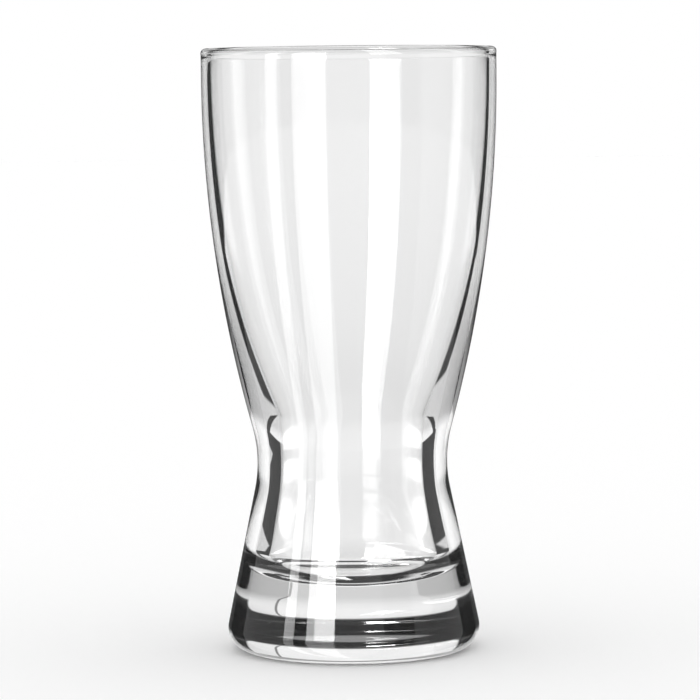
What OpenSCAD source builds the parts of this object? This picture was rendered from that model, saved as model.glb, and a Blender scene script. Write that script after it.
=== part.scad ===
// Pilsner glass: a footed, waisted beer glass in clear soda-lime glass.
// The axis is Z and the foot stands on the plane z = 0. The whole glass is one
// revolved wall between an outside outline and a bore outline, each a chain of
// tangent arcs. Level planes part it into the zones that a glassmaker works in
// turn: the solid base, the bowl with its waist, and the fire-polished rim.

/* [Outside] */
// Height from the table to the top of the rim
glass_h = 149; // [135:0.5:165]
// Diameter of the straight wall just below the rim
rim_d = 72.7; // [66:0.1:80]
// Smallest diameter, at the waist
waist_d = 47; // [43:0.1:52]
// Height of the waist above the table
waist_h = 46.8; // [43:0.1:54]
// Radius of the hollow arc round the waist
waist_arc_r = 32.9; // [26:0.1:42]
// Largest diameter of the foot
foot_d = 62.4; // [58:0.1:68]
// Radius of the rounded heel of the foot
heel_r = 5.6; // [3:0.1:8]
// Height of the straight wall, measured down from the top of the rim
straight_h = 6.8; // [4:0.1:12]

/* [Wall and bore] */
// Wall thickness just below the rim
rim_wall = 2.32; // [1.8:0.01:2.6]
// Wall thickness halfway up the bowl, where the two arcs of the bore meet
mid_wall = 3.15; // [2.8:0.01:4]
// Wall thickness from the outer waist to the narrowest place of the bore
waist_wall = 6.34; // [5:0.01:8]
// How far the narrowest place of the bore lies above the outer waist
bore_waist_rise = 3.2; // [0:0.1:6]
// Radius of the bore's waist arc above its narrowest place
bore_arc_r = 27.3; // [22:0.1:34]
// Radius of the bore's waist arc below its narrowest place
bore_lower_arc_r = 94; // [80:1:140]
// Height of the straight bore, measured down from the top of the rim
bore_straight_h = 3.6; // [3.5:0.1:8]

/* [Base] */
// Thickness of the solid glass under the middle of the bore
floor_h = 15.3; // [13:0.1:20]
// Radius of the shallow dish that floors the bore
floor_dish_r = 60; // [30:1:120]
// Radius of the corner between the dish and the wall of the bore
floor_corner_r = 6; // [4:0.1:8]
// Height of the plane where the base ends and the bowl begins
base_h = 29; // [28:0.1:34]
// Diameter of the hollow under the foot
punt_d = 46; // [30:0.5:46.5]
// Depth of the hollow under the foot
punt_h = 0.6; // [0.3:0.1:1.5]

/* [Rim] */
// How far the rounded lip swells past each face of the wall
lip_swell = 0.04; // [0.02:0.01:0.4]
// Height of the rim zone, from its plane to the top of the lip
rim_h = 3.5; // [3:0.1:3.5]

/* [Hidden] */
glass_color = [0.86, 0.9, 0.92, 0.5];

// How finely the small and the large arcs are drawn; both are true arcs
$fn = 180;
large_fn = 720;

// How far a cut runs past the face that it opens
overrun = 1;
// Where the two arcs of the bore meet, as a share of the way up from its waist
blend_share = 0.525;

// Radii that follow from the sizes above
rim_r = rim_d / 2;
waist_r = waist_d / 2;
foot_r = foot_d / 2;
punt_r = punt_d / 2;
lip_r = rim_wall / 2 + lip_swell;

// Heights that follow from the sizes above
straight_z = glass_h - straight_h;
bore_straight_z = glass_h - bore_straight_h;
bore_waist_z = waist_h + bore_waist_rise;
blend_z = bore_waist_z + blend_share * (bore_straight_z - bore_waist_z);
rim_z = glass_h - rim_h;

// Turns a point about the origin, and the unit vector of a direction
function turned(v, a) = [v[0] * cos(a) - v[1] * sin(a), v[0] * sin(a) + v[1] * cos(a)];
function unit(v) = v / norm(v);

// Radius of the arc that leaves the point p square to the unit vector n, with
// its centre along n, and touches the circle of radius r round c from outside
function touching_r(p, n, c, r) =
    let (d = p - c) (d * d - r * r) / (2 * (r - n * d));

// Where two circles that touch from outside meet
function touch_point(c1, r1, c2) = c1 + r1 * unit(c2 - c1);

// The point, of the two where circles cross, that lies right of the way c1 to c2
function crossing(c1, r1, c2, r2) =
    let (way = c2 - c1, d = norm(way), along = (d * d + r1 * r1 - r2 * r2) / (2 * d))
    c1 + along * unit(way) + sqrt(r1 * r1 - along * along) * turned(unit(way), -90);

// Outside: the waist circle, the bowl's arc, the heel circle and the line that
// touches the waist circle and the heel circle between them
waist_c = [waist_r + waist_arc_r, waist_h];
bowl_arc_r = touching_r([rim_r, straight_z], [-1, 0], waist_c, waist_arc_r);
bowl_c = [rim_r - bowl_arc_r, straight_z];
bowl_low = touch_point(waist_c, waist_arc_r, bowl_c);
heel_c = [foot_r - heel_r, heel_r];
heel_way = waist_c - heel_c;
taper_turn = acos((waist_arc_r + heel_r) / norm(heel_way));
taper_n = turned(unit(heel_way), -taper_turn);
heel_high = heel_c + heel_r * taper_n;
waist_low = waist_c - waist_arc_r * taper_n;

// Bore: two arcs down the bowl, two round the waist, then corner and dish
bore_rim_r = rim_r - rim_wall;
bore_waist_r = waist_r - waist_wall;
blend_outer_r = bowl_c[0] + sqrt(pow(bowl_arc_r, 2) - pow(straight_z - blend_z, 2));
blend_p = [blend_outer_r - mid_wall, blend_z];
upper_drop = bore_straight_z - blend_z;
upper_in = bore_rim_r - blend_p[0];
upper_r = (pow(upper_drop, 2) + pow(upper_in, 2)) / (2 * upper_in);
upper_c = [bore_rim_r - upper_r, bore_straight_z];
neck_c = [bore_waist_r + bore_arc_r, bore_waist_z];
lower_n = unit(upper_c - blend_p);
lower_r = touching_r(blend_p, lower_n, neck_c, bore_arc_r);
lower_c = blend_p + lower_r * lower_n;
neck_high = touch_point(neck_c, bore_arc_r, lower_c);
flare_c = [bore_waist_r + bore_lower_arc_r, bore_waist_z];
dish_c = [0, floor_h + floor_dish_r];
corner_c = crossing(dish_c, floor_dish_r - floor_corner_r, flare_c, bore_lower_arc_r + floor_corner_r);
corner_high = touch_point(corner_c, floor_corner_r, flare_c);
corner_low = corner_c + floor_corner_r * unit(corner_c - dish_c);

// Hollow under the foot, part of a ball that meets the foot at its ring
punt_ball_r = (pow(punt_r, 2) + pow(punt_h, 2)) / (2 * punt_h);

// A band of the outline from the axis to radius r, between two heights
module band(r, z_low, z_high) {
    translate([0, z_low]) square([r, z_high - z_low]);
}

// A band whose side swells outwards along the circle of radius r round c
module swell(c, r, z_low, z_high) {
    intersection() {
        band(c[0] + r, z_low, z_high);
        translate(c) circle(r = r, $fn = large_fn);
    }
}

// A band whose side is drawn in along the circle of radius r round c
module drawn_in(c, r, z_low, z_high) {
    difference() {
        band(c[0], z_low, z_high);
        translate(c) circle(r = r, $fn = large_fn);
    }
}

// Half outline of the outside, up to the plane where the rim begins
module outside() {
    band(rim_r, straight_z, rim_z);
    swell(bowl_c, bowl_arc_r, bowl_low[1], straight_z);
    drawn_in(waist_c, waist_arc_r, waist_low[1], bowl_low[1]);
    polygon([[0, heel_high[1]], heel_high, waist_low, [0, waist_low[1]]]);
    band(heel_c[0], 0, heel_high[1]);
    swell(heel_c, heel_r, 0, heel_high[1]);
}

// Half outline of the bore, from its floor to past the rim's plane
module bore() {
    band(bore_rim_r, bore_straight_z, rim_z + overrun);
    swell(upper_c, upper_r, blend_z, bore_straight_z);
    swell(lower_c, lower_r, neck_high[1], blend_z);
    drawn_in(neck_c, bore_arc_r, bore_waist_z, neck_high[1]);
    drawn_in(flare_c, bore_lower_arc_r, corner_high[1], bore_waist_z);
    band(corner_c[0], corner_low[1], corner_high[1]);
    swell(corner_c, floor_corner_r, corner_low[1], corner_high[1]);
    swell(dish_c, floor_dish_r, floor_h, corner_low[1]);
}

// The wall between the two outlines, revolved, between two heights
module wall_zone(z_low, z_high) {
    rotate_extrude()
        intersection() {
            difference() {
                outside();
                bore();
            }
            band(rim_r + foot_r, z_low, z_high);
        }
}

// Solid base: rounded heel, dished floor of the bore and a slight hollow below
module base() {
    color(glass_color)
        difference() {
            wall_zone(0, base_h);
            translate([0, 0, punt_h - punt_ball_r]) sphere(r = punt_ball_r, $fn = large_fn);
        }
}

// Bowl: the wall from the base through the waist to the rim's plane
module bowl() {
    color(glass_color) wall_zone(base_h, rim_z);
}

// Rim: the last of the straight wall, closed by a round fire-polished lip
module rim() {
    mid_r = rim_r - rim_wall / 2;
    lip_z = glass_h - lip_r;
    color(glass_color)
        rotate_extrude() {
            translate([bore_rim_r, rim_z]) square([rim_wall, lip_z - rim_z]);
            translate([mid_r, lip_z]) circle(r = lip_r);
        }
}

base();
bowl();
rim();
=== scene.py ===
import math

import bmesh
import bpy
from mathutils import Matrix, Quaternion, Vector


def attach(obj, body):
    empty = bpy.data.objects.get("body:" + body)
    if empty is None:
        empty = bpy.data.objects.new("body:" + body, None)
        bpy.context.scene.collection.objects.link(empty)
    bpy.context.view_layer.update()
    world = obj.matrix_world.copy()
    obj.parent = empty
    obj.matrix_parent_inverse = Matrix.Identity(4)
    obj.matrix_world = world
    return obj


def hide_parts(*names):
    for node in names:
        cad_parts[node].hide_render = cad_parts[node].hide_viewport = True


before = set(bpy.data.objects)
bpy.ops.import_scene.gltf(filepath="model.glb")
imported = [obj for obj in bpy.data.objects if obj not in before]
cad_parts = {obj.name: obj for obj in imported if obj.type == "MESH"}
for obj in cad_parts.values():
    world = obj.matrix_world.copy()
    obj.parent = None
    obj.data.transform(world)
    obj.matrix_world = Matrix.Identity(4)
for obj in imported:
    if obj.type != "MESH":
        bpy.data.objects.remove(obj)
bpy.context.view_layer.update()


# The glass: one piece of clear soda-lime glass, pressed and blown in a mould, then fire-polished.
# The solid base carries a waisted bowl whose wall thins from about 6 mm at the waist to 2.3 mm at
# the rim, and the rim is melted round into a plain lip. It replaces the three zones of the model.
MM = 0.001
glass_h = 149.0
rim_r = 72.7 / 2
rim_straight = 6.8
waist_r = 47.0 / 2
waist_h = 46.8
waist_arc_r = 32.9
foot_r = 62.4 / 2
heel_r = 5.6
rim_wall = 2.32
mid_wall = 3.15
waist_wall = 6.34
bore_waist_rise = 3.2
bore_arc_r = 27.3
bore_lower_arc_r = 94.0
bore_straight = 3.6
blend_share = 0.525
floor_h = 15.3
floor_dish_r = 60.0
floor_corner_r = 6.0
punt_r = 46.0 / 2
punt_h = 0.6
lip_bulge = 0.04
lip_r = rim_wall / 2 + lip_bulge
turn_steps = 288
merge_within = 0.001


def touching_r(p, n, c, r):
    """Radius of the arc that leaves p, centred along n, and touches the circle (c, r) from outside."""
    d = p - c
    return (d.dot(d) - r * r) / (2 * (r - n.dot(d)))


def turned(v, degrees):
    """The vector v turned anticlockwise in the plane of the outline."""
    a = math.radians(degrees)
    return Vector((v.x * math.cos(a) - v.y * math.sin(a), v.x * math.sin(a) + v.y * math.cos(a)))


def crossing(c1, r1, c2, r2):
    """Where two circles cross, on the right of the way from c1 to c2."""
    way = c2 - c1
    along = (way.length_squared + r1 * r1 - r2 * r2) / (2 * way.length)
    across = math.sqrt(r1 * r1 - along * along)
    return c1 + way.normalized() * along + turned(way.normalized(), -90) * across


# Outside arcs, from the heel up to the straight rim
straight_z = glass_h - rim_straight
waist_c = Vector((waist_r + waist_arc_r, waist_h))
bowl_arc_r = touching_r(Vector((rim_r, straight_z)), Vector((-1, 0)), waist_c, waist_arc_r)
bowl_c = Vector((rim_r - bowl_arc_r, straight_z))
bowl_low = waist_c + (bowl_c - waist_c).normalized() * waist_arc_r
heel_c = Vector((foot_r - heel_r, heel_r))
heel_way = waist_c - heel_c
taper_turn = math.degrees(math.acos((waist_arc_r + heel_r) / heel_way.length))
taper_n = turned(heel_way.normalized(), -taper_turn)

# Bore arcs, from the straight rim down to the dished floor
bore_rim_r = rim_r - rim_wall
bore_straight_z = glass_h - bore_straight
bore_waist_r = waist_r - waist_wall
bore_waist_z = waist_h + bore_waist_rise
blend_z = bore_waist_z + blend_share * (bore_straight_z - bore_waist_z)
blend_outer_r = bowl_c.x + math.sqrt(bowl_arc_r ** 2 - (straight_z - blend_z) ** 2)
blend_p = Vector((blend_outer_r - mid_wall, blend_z))
upper_in = bore_rim_r - blend_p.x
upper_r = ((bore_straight_z - blend_z) ** 2 + upper_in ** 2) / (2 * upper_in)
upper_c = Vector((bore_rim_r - upper_r, bore_straight_z))
neck_c = Vector((bore_waist_r + bore_arc_r, bore_waist_z))
lower_n = (upper_c - blend_p).normalized()
lower_r = touching_r(blend_p, lower_n, neck_c, bore_arc_r)
lower_c = blend_p + lower_n * lower_r
neck_high = neck_c + (lower_c - neck_c).normalized() * bore_arc_r
flare_c = Vector((bore_waist_r + bore_lower_arc_r, bore_waist_z))
dish_c = Vector((0, floor_h + floor_dish_r))
corner_c = crossing(dish_c, floor_dish_r - floor_corner_r, flare_c, bore_lower_arc_r + floor_corner_r)
corner_high = corner_c + (flare_c - corner_c).normalized() * floor_corner_r
corner_low = corner_c + (corner_c - dish_c).normalized() * floor_corner_r

# Lip: a circle on the middle of the wall, joined to both faces of the wall
lip_c = Vector((rim_r - rim_wall / 2, glass_h - lip_r))
lip_foot_z = lip_c.y - math.sqrt(lip_r ** 2 - (rim_wall / 2) ** 2)


def line_to(outline, end, steps):
    """Runs the outline straight on to the point end."""
    last = outline.verts[-1]
    step = (Vector((end[0], 0, end[1])) - last.co) / steps
    for _ in range(steps):
        vert = bmesh.ops.extrude_vert_indiv(outline, verts=[last])["verts"][0]
        bmesh.ops.translate(outline, verts=[vert], vec=step)
        outline.verts.ensure_lookup_table()
        last = outline.verts[-1]


def arc_to(outline, centre, end, steps):
    """Swings the outline's last point round centre to the direction of the point end."""
    outline.verts.ensure_lookup_table()
    last = outline.verts[-1]
    a = math.atan2(last.co.z - centre[1], last.co.x - centre[0])
    b = math.atan2(end[1] - centre[1], end[0] - centre[0])
    angle = (b - a + math.pi) % (2 * math.pi) - math.pi
    bmesh.ops.spin(
        outline, geom=[last], cent=(centre[0], 0, centre[1]), axis=(0, -1, 0),
        angle=angle, steps=steps, use_merge=False,
    )
    outline.verts.ensure_lookup_table()


# The outline runs from the middle of the underside, round the heel and up the outside to the lip,
# then down the bore to the middle of its floor
shape = bmesh.new()
shape.verts.new((0, 0, punt_h))
shape.verts.ensure_lookup_table()
punt_ball_r = (punt_r ** 2 + punt_h ** 2) / (2 * punt_h)
arc_to(shape, (0, punt_h - punt_ball_r), (punt_r, 0), steps=12)
line_to(shape, (heel_c.x, 0), steps=2)
arc_to(shape, heel_c, heel_c + taper_n, steps=30)
line_to(shape, waist_c - taper_n * waist_arc_r, steps=16)
arc_to(shape, waist_c, bowl_low, steps=30)
arc_to(shape, bowl_c, (rim_r, straight_z), steps=44)
line_to(shape, (rim_r, lip_foot_z), steps=3)
arc_to(shape, lip_c, (lip_c.x, glass_h), steps=14)
arc_to(shape, lip_c, (bore_rim_r, lip_foot_z), steps=14)
line_to(shape, (bore_rim_r, bore_straight_z), steps=2)
arc_to(shape, upper_c, blend_p, steps=24)
arc_to(shape, lower_c, neck_high, steps=26)
arc_to(shape, neck_c, (bore_waist_r, bore_waist_z), steps=18)
arc_to(shape, flare_c, corner_high, steps=16)
arc_to(shape, corner_c, corner_low, steps=18)
arc_to(shape, dish_c, (0, floor_h), steps=10)
bmesh.ops.spin(
    shape, geom=shape.verts[:] + shape.edges[:], cent=(0, 0, 0), axis=(0, 0, 1),
    angle=2 * math.pi, steps=turn_steps, use_merge=True,
)
bmesh.ops.remove_doubles(shape, verts=shape.verts, dist=merge_within)
bmesh.ops.recalc_face_normals(shape, faces=shape.faces)
bmesh.ops.scale(shape, vec=(MM, MM, MM), verts=shape.verts)
glass_mesh = bpy.data.meshes.new("glass")
shape.to_mesh(glass_mesh)
shape.free()
glass_mesh.shade_smooth()
glass = bpy.data.objects.new("glass", glass_mesh)
bpy.context.scene.collection.objects.link(glass)
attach(glass, "root")
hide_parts("base", "bowl", "rim")


def hex_colour(code):
    """An sRGB hex value as linear RGBA."""
    parts = [int(code[i:i + 2], 16) / 255 for i in (1, 3, 5)]
    return [p / 12.92 if p <= 0.04045 else ((p + 0.055) / 1.055) ** 2.4 for p in parts] + [1]


def add(tree, kind, links=(), **settings):
    """Adds a node with settings, and links or sets its inputs from (input, source) pairs."""
    made = tree.nodes.new(kind)
    for name, value in settings.items():
        setattr(made, name, value)
    for name, source in links:
        if isinstance(source, bpy.types.NodeSocket):
            tree.links.new(source, made.inputs[name])
        else:
            made.inputs[name].default_value = source
    return made


def new_material(name):
    """A material with an empty node tree."""
    material = bpy.data.materials.new(name)
    material.use_nodes = True
    material.node_tree.nodes.clear()
    return material, material.node_tree


# Fire-polished soda-lime glass: colourless and quite smooth, so the eye sees only what it bends
# and mirrors. A trace of haze gives the thick base the soft dark grey of light caught inside it.
soda_lime_ior = 1.52
clear_part = 0.985
soda_lime, tree = new_material("fire_polished_soda_lime_glass")
surface = add(tree, "ShaderNodeBsdfPrincipled", [
    ("Base Color", hex_colour("#FFFFFF")), ("Roughness", 0.0),
    ("IOR", soda_lime_ior), ("Transmission Weight", clear_part),
])
add(tree, "ShaderNodeOutputMaterial", [("Surface", surface.outputs[0])])
glass_mesh.materials.append(soda_lime)


# The table: a plain white sheet of matt paper under the glass, which keeps the glass's soft shadow.
# The glass itself sees through the sheet to the studio, so that no white floor fills its base.
sheet_half = 3.0
sheet = bmesh.new()
bmesh.ops.create_grid(sheet, x_segments=1, y_segments=1, size=sheet_half)
table_mesh = bpy.data.meshes.new("table")
sheet.to_mesh(table_mesh)
sheet.free()
table = bpy.data.objects.new("table", table_mesh)
bpy.context.scene.collection.objects.link(table)
white_table, tree = new_material("white_table")
path = add(tree, "ShaderNodeLightPath")
matt = add(tree, "ShaderNodeBsdfDiffuse", [("Color", hex_colour("#FFFFFF"))])
unseen = add(tree, "ShaderNodeBsdfTransparent")
by_glass = add(
    tree, "ShaderNodeMath",
    [(0, path.outputs["Is Glossy Ray"]), (1, path.outputs["Is Transmission Ray"])], operation="MAXIMUM",
)
either = add(tree, "ShaderNodeMixShader", [
    (0, by_glass.outputs[0]), (1, matt.outputs[0]), (2, unseen.outputs[0]),
])
add(tree, "ShaderNodeOutputMaterial", [("Surface", either.outputs[0])])
table_mesh.materials.append(white_table)


# The studio: plain white to the eye. What the glass bends or mirrors is four broad white panels
# with dark gaps between them, so that its edges draw dark, under a dim ceiling, with two tall soft
# lamps in front and two low ones behind. Every place and slope below is in degrees.
world = bpy.data.worlds.new("studio")
world.use_nodes = True
bpy.context.scene.world = world
tree = world.node_tree
tree.nodes.clear()
path = add(tree, "ShaderNodeLightPath")
where = add(tree, "ShaderNodeTexCoord")
way = add(tree, "ShaderNodeSeparateXYZ", [(0, where.outputs["Generated"])])


def plus(*terms):
    """The sum of several values."""
    total = terms[0]
    for term in terms[1:]:
        total = add(tree, "ShaderNodeMath", [(0, total), (1, term)], operation="ADD").outputs[0]
    return total


def minus(whole, part):
    """What stays of the whole without the part."""
    return add(tree, "ShaderNodeMath", [(0, whole), (1, part)], operation="SUBTRACT").outputs[0]


def times(*factors):
    """The product of several values."""
    product = factors[0]
    for factor in factors[1:]:
        product = add(tree, "ShaderNodeMath", [(0, product), (1, factor)], operation="MULTIPLY").outputs[0]
    return product


def unsigned(value):
    """The value without its sign."""
    return add(tree, "ShaderNodeMath", [(0, value)], operation="ABSOLUTE").outputs[0]


def up_to(value, limit):
    """The value, but the limit where it is past that."""
    return add(tree, "ShaderNodeMath", [(0, value), (1, limit)], operation="MINIMUM").outputs[0]


def over(value, limit):
    """1 where the value is over the limit, otherwise 0."""
    return add(tree, "ShaderNodeMath", [(0, value), (1, limit)], operation="GREATER_THAN").outputs[0]


def bearing_of(across, along):
    """The bearing of a direction, positive on the camera's right."""
    turn = add(tree, "ShaderNodeMath", [(0, across), (1, along)], operation="ARCTAN2").outputs[0]
    return times(turn, math.degrees(1))


def ramp(value, low, high, kind="SMOOTHSTEP"):
    """Runs from 0 at low to 1 at high. It falls with the value where low is the larger one."""
    span = [("Value", value), ("From Min", low), ("From Max", high)]
    return add(tree, "ShaderNodeMapRange", span, interpolation_type=kind).outputs[0]


def blend(amount, low, high):
    """low where the amount is 0, high where it is 1."""
    return plus(low, times(amount, minus(high, low)))


def choose(test, when_true, when_false):
    """One of two values, by a test that is 1 or 0."""
    return add(tree, "ShaderNodeMix", [(0, test), (2, when_false), (3, when_true)]).outputs[0]


def leaning(value, pivot, place, slope):
    """The place of a leaning edge, given where the value is at its pivot."""
    return plus(place, times(minus(value, pivot), slope))


# Directions: bearing is counted from the camera's side of the glass, rear and aside from the side
# away from it, and behind from the middle of the rear panel
panel_turn = 1.5
rise = add(tree, "ShaderNodeMath", [(0, way.outputs[2])], operation="ARCSINE").outputs[0]
height = times(rise, math.degrees(1))
bearing = bearing_of(way.outputs[0], times(way.outputs[1], -1))
rear = bearing_of(way.outputs[0], way.outputs[1])
aside = unsigned(rear)
to_right = over(rear, 0)
behind = unsigned(minus(rear, panel_turn))

# What a ray did in the glass: whether it crossed both walls of the bowl, which takes four bends, and
# whether it was mirrored once, again or more often
bends = path.outputs["Transmission Depth"]
mirrorings = path.outputs["Glossy Depth"]
both_walls = 4
just_under = 0.5
crossed = over(bends, both_walls - just_under)
mirrored = over(mirrorings, 1 - just_under)
again = over(mirrorings, 2 - just_under)
often = over(mirrorings, 3 - just_under)

# Ceiling, and the dark room round the panels
ceiling_from = (16.5, 19.5)
ceiling_level = 0.25
dark_room = 0.006
ceiling = ramp(height, *ceiling_from)

# Panels: one in each quarter. All are turned together so that the rear one, which alone is at full
# strength, stands a little to the right
quarter = 90
panel_half = 30.0
panel_soft = 0.7
rear_panel = (50, 40)
side_level = 0.5
in_quarter = add(
    tree, "ShaderNodeMath", [(0, plus(bearing, quarter / 2 + panel_turn)), (1, quarter)],
    operation="FLOORED_MODULO",
).outputs[0]
off_middle = unsigned(minus(in_quarter, quarter / 2))
on_panel = ramp(off_middle, panel_half + panel_soft, panel_half - panel_soft)
at_rear = ramp(behind, *rear_panel)
panels = times(on_panel, blend(at_rear, side_level, 1))


def lamp(left, right, soft=0.6):
    """A tall lamp between two bearings."""
    return times(ramp(bearing, left - soft, left + soft), ramp(bearing, right + soft, right - soft))


# Lamps: the key and a second one on the left in front, stronger above, and a low one at each side
key_span = (-45, -18)
key_levels = (2.9, 16)
key_part = (-38, -36.5)
key_part_level = 0.5
second_span = (-68, -57.5)
second_levels = (2.7, 6)
lamp_rise = (-2, 12)
low_right = (103, 121)
low_left = (-117, -103)
low_lamp_level = 1.6
low_lamp_top = (26, 14)
upper = ramp(height, *lamp_rise)
key = times(lamp(*key_span), blend(upper, *key_levels))
key = times(key, blend(ramp(bearing, *key_part), blend(upper, 1, key_part_level), 1))
second = times(lamp(*second_span), blend(upper, *second_levels))
front_lamps = plus(key, second)
low_lamps = times(plus(lamp(*low_right), lamp(*low_left)), low_lamp_level, ramp(height, *low_lamp_top))

# Seen straight through: a white backdrop that is a little darker below, and nearly dark from
# under the table. The base, where a ray crosses one wall, shows three marks on it: its seam, the
# dark room beyond the seam and a dark gap at each side
backdrop_levels = (0.94, 0.98)
fall_span = (-22, -4)
fall_levels = (0.26, 0.12)
table_edge = (-34, -28)
under_table = (-57, -62)
under_table_level = 0.1
seam_place = 28
seam_bend_h = -16
seam_slope = 0.5
seam_width = (0.9, 0.4)
seam_level = 0.25
beyond_edge = (0, 1.2)
beyond_span = (-25, -10)
beyond_levels = (0.25, 0.07)
gap_near = (45, 48)
gap_far = (76, 72)
gap_foot = (-10, -6)
gap_level = 0.03
over_table = ramp(height, *table_edge)
fall = times(minus(1, ramp(height, *fall_span, kind="LINEAR")), blend(crossed, *fall_levels), over_table)
backdrop = minus(blend(crossed, *backdrop_levels), fall)
seam_at = leaning(up_to(height, seam_bend_h), seam_bend_h, seam_place, seam_slope)
seam = ramp(unsigned(minus(rear, seam_at)), *seam_width)
past_seam = ramp(minus(aside, seam_at), *beyond_edge)
beyond = times(past_seam, over_table, blend(ramp(height, *beyond_span), *beyond_levels))
gap = times(ramp(behind, *gap_near), ramp(behind, *gap_far), ramp(height, *gap_foot))
marks = times(blend(seam, 1, seam_level), minus(1, beyond), blend(gap, 1, gap_level))

# Through both walls of the bowl, the backdrop has a brighter patch at each side
patch_near = (11, 27)
patch_far = (60, 50)
patch_foot = (-11, -7)
patch_top = (-0.5, -2.5)
patch_level = 1.8
patch = times(
    ramp(aside, *patch_near), ramp(aside, *patch_far), ramp(height, *patch_foot), ramp(height, *patch_top),
)
straight = times(backdrop, blend(crossed, marks, blend(patch, 1, patch_level)))
straight = blend(ceiling, straight, ceiling_level)
straight = blend(ramp(height, *under_table), straight, under_table_level)

# Mirrored inside the wall, below: white with a dark card in front at each side. The card's leaning
# edges draw the dark lines of the bowl, a little different on the left and right
card_level = 0.02
near_edge_left = (24, -0.31)
near_edge_right = (30.5, -0.2)
near_soft = (-0.6, 0.6)
far_edge = (30.3, -0.475)
far_edge_right = 3
far_soft = (0.8, -0.8)
foot_pivot = 31
foot_edge = (-28.5, -0.45)
foot_edge_right = 3.4
end_soft = (-0.5, 0.5)
low_span = (-22, -12)
low_level = 0.72
below_span = (-52, -33)
below_level = 0.03
near_at = blend(to_right, leaning(height, 0, *near_edge_left), leaning(height, 0, *near_edge_right))
far_at = plus(leaning(height, 0, *far_edge), times(to_right, far_edge_right))
foot_at = plus(leaning(aside, foot_pivot, *foot_edge), times(to_right, foot_edge_right))
past_near = ramp(minus(aside, near_at), *near_soft)
before_far = ramp(minus(aside, far_at), *far_soft)
card = times(past_near, before_far, ramp(minus(height, foot_at), *end_soft))
low_white = times(blend(ramp(height, *low_span), low_level, 1), blend(card, 1, card_level))
low_white = times(low_white, blend(ramp(height, *below_span), below_level, 1))

# Mirrored inside the wall, above: the panels, with an upper card across the gaps between them, from
# a leaning foot to a leaning top, which draws the dark patches of the waist. Over it all is open
card_foot_end = 62
card_foot_edge = (-16.1, 0.13)
card_foot_soft = (0.4, -0.4)
card_top_pivot = 36
card_top_places = (1, 3.5)
card_top_slopes = (0.45, 0.3)
open_level = 0.7
card_foot = leaning(up_to(aside, card_foot_end), 0, *card_foot_edge)
top_place = blend(to_right, *card_top_places)
top_slope = blend(to_right, *card_top_slopes)
card_top = leaning(aside, card_top_pivot, top_place, top_slope)
uncovered = blend(ramp(minus(height, card_top), *end_soft), card_level, open_level)
high_white = add(tree, "ShaderNodeMath", [(0, panels), (1, uncovered)], operation="MAXIMUM").outputs[0]
high_white = blend(ceiling, high_white, ceiling_level)
wall_white = blend(ramp(minus(height, card_foot), *card_foot_soft), high_white, low_white)

# The middle of the rear panel is brighter
middle_edge = (27, 22)
middle_top = (6, 2)
middle_foot = (-14, -8)
middle_level = 1.3
middle = times(ramp(aside, *middle_edge), ramp(height, *middle_top), ramp(height, *middle_foot))
wall_white = times(wall_white, blend(middle, 1, middle_level))

# Mirrored off the outer skin: the lamps and the panels, up to their tops. A level band of the rear
# panel is left out, so that the outline of the bowl stays thin and dark
lamp_top = (44, 34)
panel_top = (24, 14)
band_top = (8, 4)
band_foot = (-12, -7)
band_level = 0.08
band = times(at_rear, ramp(height, *band_top), ramp(height, *band_foot))
skin_panels = times(panels, ramp(height, *panel_top), blend(band, 1, band_level))
off_skin = plus(times(front_lamps, ramp(height, *lamp_top)), skin_panels, dark_room)

# Mirrored inside the wall: the lamps at half strength and the whites above, weaker each further
# time, down to a trace of grey
wall_lamps = 0.5
wall_again = 0.12
wall_often = 0.15
wall_grey = 0.022
in_wall = plus(times(front_lamps, wall_lamps), wall_white, dark_room)
in_wall = times(in_wall, blend(again, 1, wall_again), blend(often, 1, wall_often))
in_wall = plus(in_wall, times(again, wall_grey))

# Mirrored inside the bowl: the key, the low lamps and a soft white field behind
field_foot = (-20, -16)
field_top = (24, 20)
field_side = (75, 60)
field_level = 0.5
bowl_often = 0.3
field = times(ramp(height, *field_foot), ramp(height, *field_top), ramp(behind, *field_side), field_level)
in_bowl = times(plus(key, low_lamps, field, dark_room), blend(often, 1, bowl_often))

# The eye and the table see plain white, and the glass what was worked out above
plain_white = 1.0
through = choose(mirrored, choose(crossed, in_bowl, in_wall), straight)
level = choose(path.outputs["Is Glossy Ray"], off_skin, plain_white)
level = choose(path.outputs["Is Transmission Ray"], through, level)
sky = add(tree, "ShaderNodeBackground", [("Color", hex_colour("#FFFFFF")), ("Strength", level)])
add(tree, "ShaderNodeOutputWorld", [("Surface", sky.outputs[0])])


# The camera: a long lens a metre off and a little above the rim, tilted down to the glass. Its roll
# is between that of the photograph's level rim and that of its leaning sides.
lens_mm = 215.2
sensor_mm = 36.0
camera_place = (0, -1.0315, 0.1634)
tilt_down = 4.938
turn_right = -0.018
roll_over = -0.55
camera_data = bpy.data.cameras.new("camera")
camera = bpy.data.objects.new("camera", camera_data)
bpy.context.scene.collection.objects.link(camera)
bpy.context.scene.camera = camera
camera_data.sensor_width = sensor_mm
camera_data.lens = lens_mm
camera.location = camera_place
camera.rotation_mode = "QUATERNION"
pitch, yaw, roll = (math.radians(a) for a in (tilt_down, turn_right, roll_over))
ahead = Vector((math.sin(yaw) * math.cos(pitch), math.cos(yaw) * math.cos(pitch), -math.sin(pitch)))
camera.rotation_quaternion = ahead.to_track_quat("-Z", "Y") @ Quaternion((0, 0, 1), roll)

bpy.context.scene.view_settings.view_transform = "Standard"
